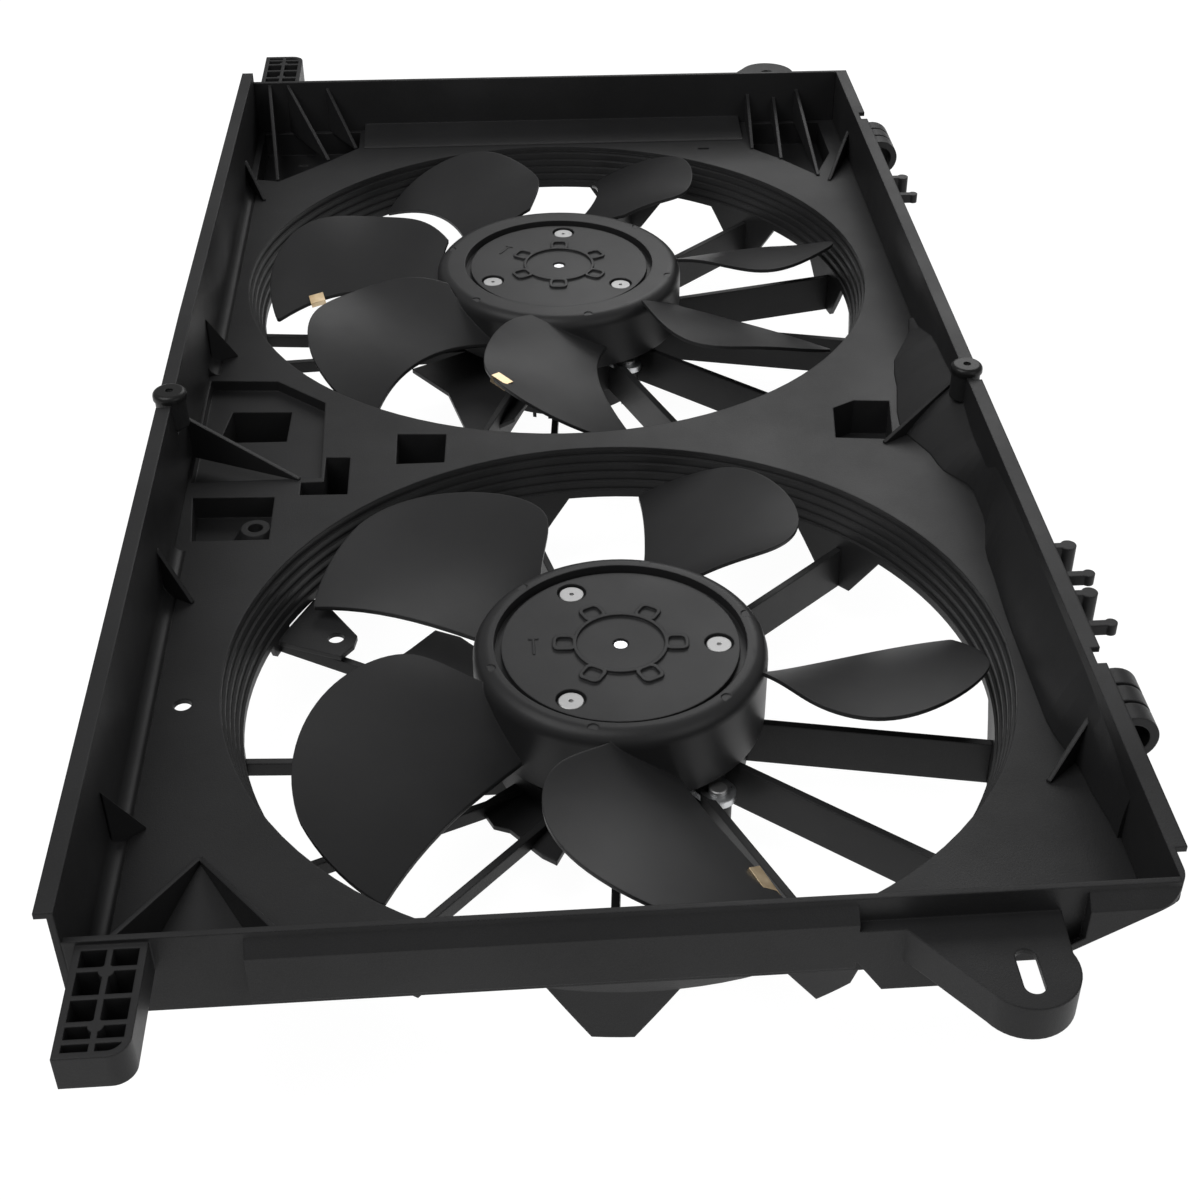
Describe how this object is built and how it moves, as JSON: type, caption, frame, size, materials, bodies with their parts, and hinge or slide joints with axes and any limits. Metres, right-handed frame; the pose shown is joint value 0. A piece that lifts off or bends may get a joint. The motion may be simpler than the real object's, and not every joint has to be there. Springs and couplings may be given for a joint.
{
  "type": "radiator cooling fan assembly",
  "caption": "Flat moulded radiator shroud with two differently sized bladed fans, each on its own outer-rotor electric motor held by radial struts.",
  "frame": {"origin": "centre of the base of the bounding box, at the level of the motor covers' backs", "axes": "+X across the shroud, +Y along it from the smaller opening's end to the larger one's, +Z along the fans' axes towards the radiator"},
  "size_m": [0.492, 1.008, 0.1455],
  "materials": {
    "moulded_plastic": "satin, finely grained moulded black",
    "fan_plastic": "satin black, smoother than the shroud",
    "pin_plastic": "semi-gloss black",
    "connector_plastic": "satin dark plastic",
    "clip_metal": "tan plated spring steel",
    "screw_metal": "dull grey zinc plating",
    "zinc_steel": "dark plated pressed steel",
    "magnet": "matt ferrite",
    "bright_steel": "ground steel",
    "cast_aluminium": "as die cast",
    "core_steel": "stacked electrical steel",
    "copper_wire": "enamelled copper",
    "circuit_board": "green solder mask",
    "cover_paint": "black coated pressed cover"
  },
  "bodies": {
    "shroud": {"shroud_deck": "moulded_plastic", "left_wall": "moulded_plastic", "right_wall": "moulded_plastic", "near_wall": "moulded_plastic", "far_wall": "moulded_plastic", "near_venturi_ring": "moulded_plastic", "far_venturi_ring": "moulded_plastic", "near_motor_mount": "moulded_plastic", "far_motor_mount": "moulded_plastic", "near_motor_struts": "moulded_plastic", "far_motor_struts": "moulded_plastic", "push_pins": "pin_plastic", "near_motor_housing": "cast_aluminium", "near_motor_screws": "screw_metal", "near_stator_core": "core_steel", "near_stator_coils": "copper_wire", "near_bearings": "bright_steel", "near_control_board": "circuit_board", "near_motor_cover": "cover_paint", "near_motor_connector": "connector_plastic", "far_motor_housing": "cast_aluminium", "far_motor_screws": "screw_metal", "far_stator_core": "core_steel", "far_stator_coils": "copper_wire", "far_bearings": "bright_steel", "far_control_board": "circuit_board", "far_motor_cover": "cover_paint", "far_motor_connector": "connector_plastic"},
    "near_fan": {"near_fan_impeller": "fan_plastic", "near_balance_clips": "clip_metal", "near_fan_screws": "screw_metal", "near_rotor_cup": "zinc_steel", "near_rotor_magnets": "magnet", "near_rotor_shaft": "bright_steel"},
    "far_fan": {"far_fan_impeller": "fan_plastic", "far_balance_clips": "clip_metal", "far_fan_screws": "screw_metal", "far_rotor_cup": "zinc_steel", "far_rotor_magnets": "magnet", "far_rotor_shaft": "bright_steel"}
  },
  "joints": [
    {"name": "near_fan_spin", "type": "hinge", "parent": "shroud", "child": "near_fan", "pos_m": [0.0023, -0.23365, 0.084], "axis": [0, 0, 1], "continuous": true},
    {"name": "far_fan_spin", "type": "hinge", "parent": "shroud", "child": "far_fan", "pos_m": [-0.0103, 0.19365, 0.084], "axis": [0, 0, 1], "continuous": true}
  ]
}
